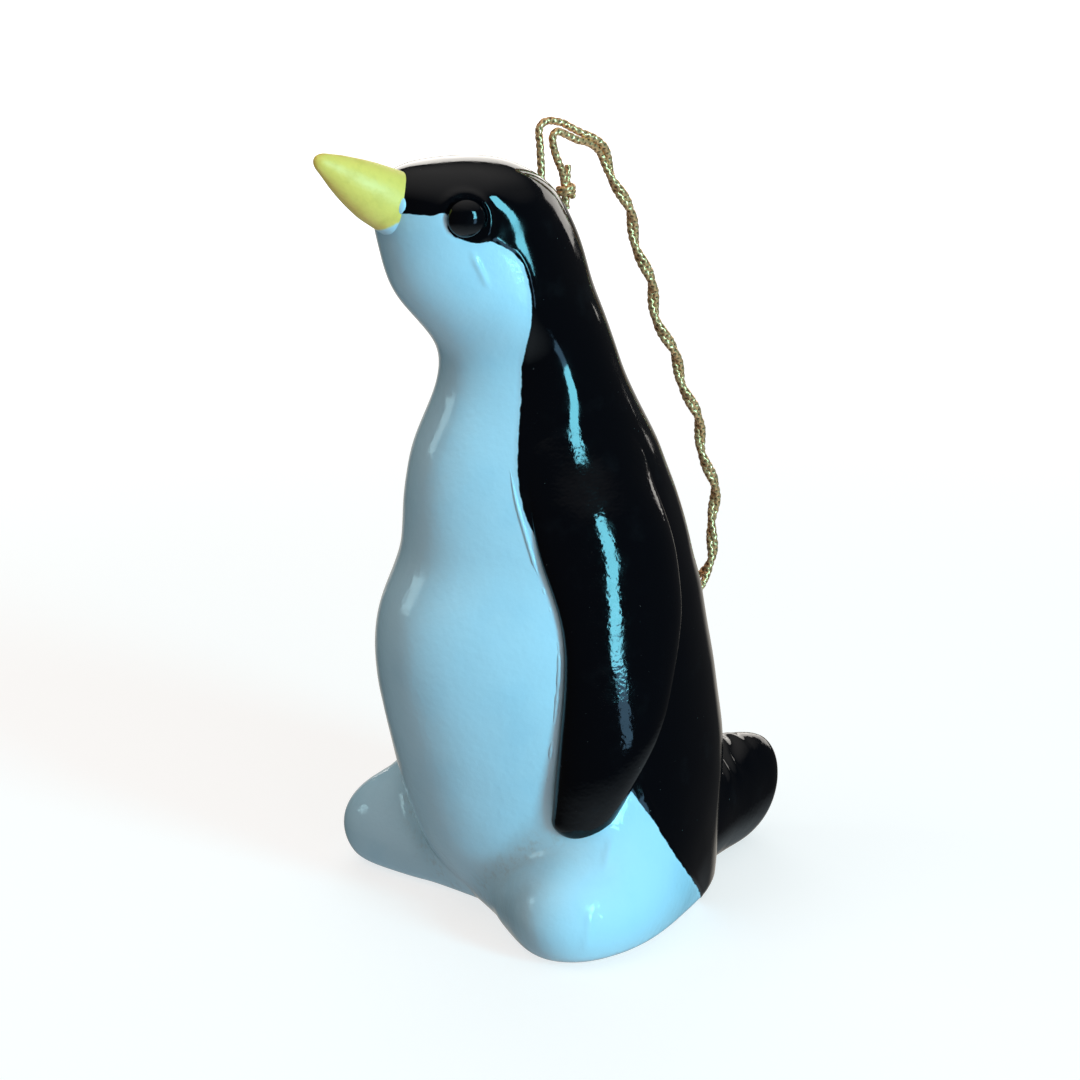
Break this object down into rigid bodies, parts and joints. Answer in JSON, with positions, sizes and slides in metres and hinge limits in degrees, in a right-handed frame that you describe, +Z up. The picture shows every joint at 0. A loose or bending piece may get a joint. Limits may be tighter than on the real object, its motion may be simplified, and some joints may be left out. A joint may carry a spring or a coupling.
{
  "type": "penguin figurine",
  "caption": "Glossy painted penguin ornament standing upright with raised beak, flippers at its sides, stub tail and a gold cord loop threaded through its crown.",
  "frame": {"origin": "on the surface that the figure stands on, under the middle of its box without the cord", "axes": "+Z up; the penguin looks along -Y; +X is to its left"},
  "size_m": [0.0498, 0.0651, 0.092],
  "materials": {
    "body_glaze": "gloss white glaze with a black painted crown, nape and back",
    "beak_glaze": "gloss pale yellow paint",
    "black_glaze": "gloss black paint",
    "gold_cord": "braided metallic gold thread"
  },
  "bodies": {
    "figure": {"body": "body_glaze", "beak": "beak_glaze", "eye_left": "black_glaze", "eye_right": "black_glaze", "flipper_left": "black_glaze", "flipper_right": "black_glaze", "tail": "black_glaze", "cord_anchor": "gold_cord", "cord_knot": "gold_cord"},
    "loop": {"cord_loop": "gold_cord"}
  },
  "joints": [
    {"name": "loop_lift", "type": "hinge", "parent": "figure", "child": "loop", "pos_m": [0, -0.0019, 0.0916], "axis": [1, 0, 0], "range_deg": [0, 150]}
  ]
}
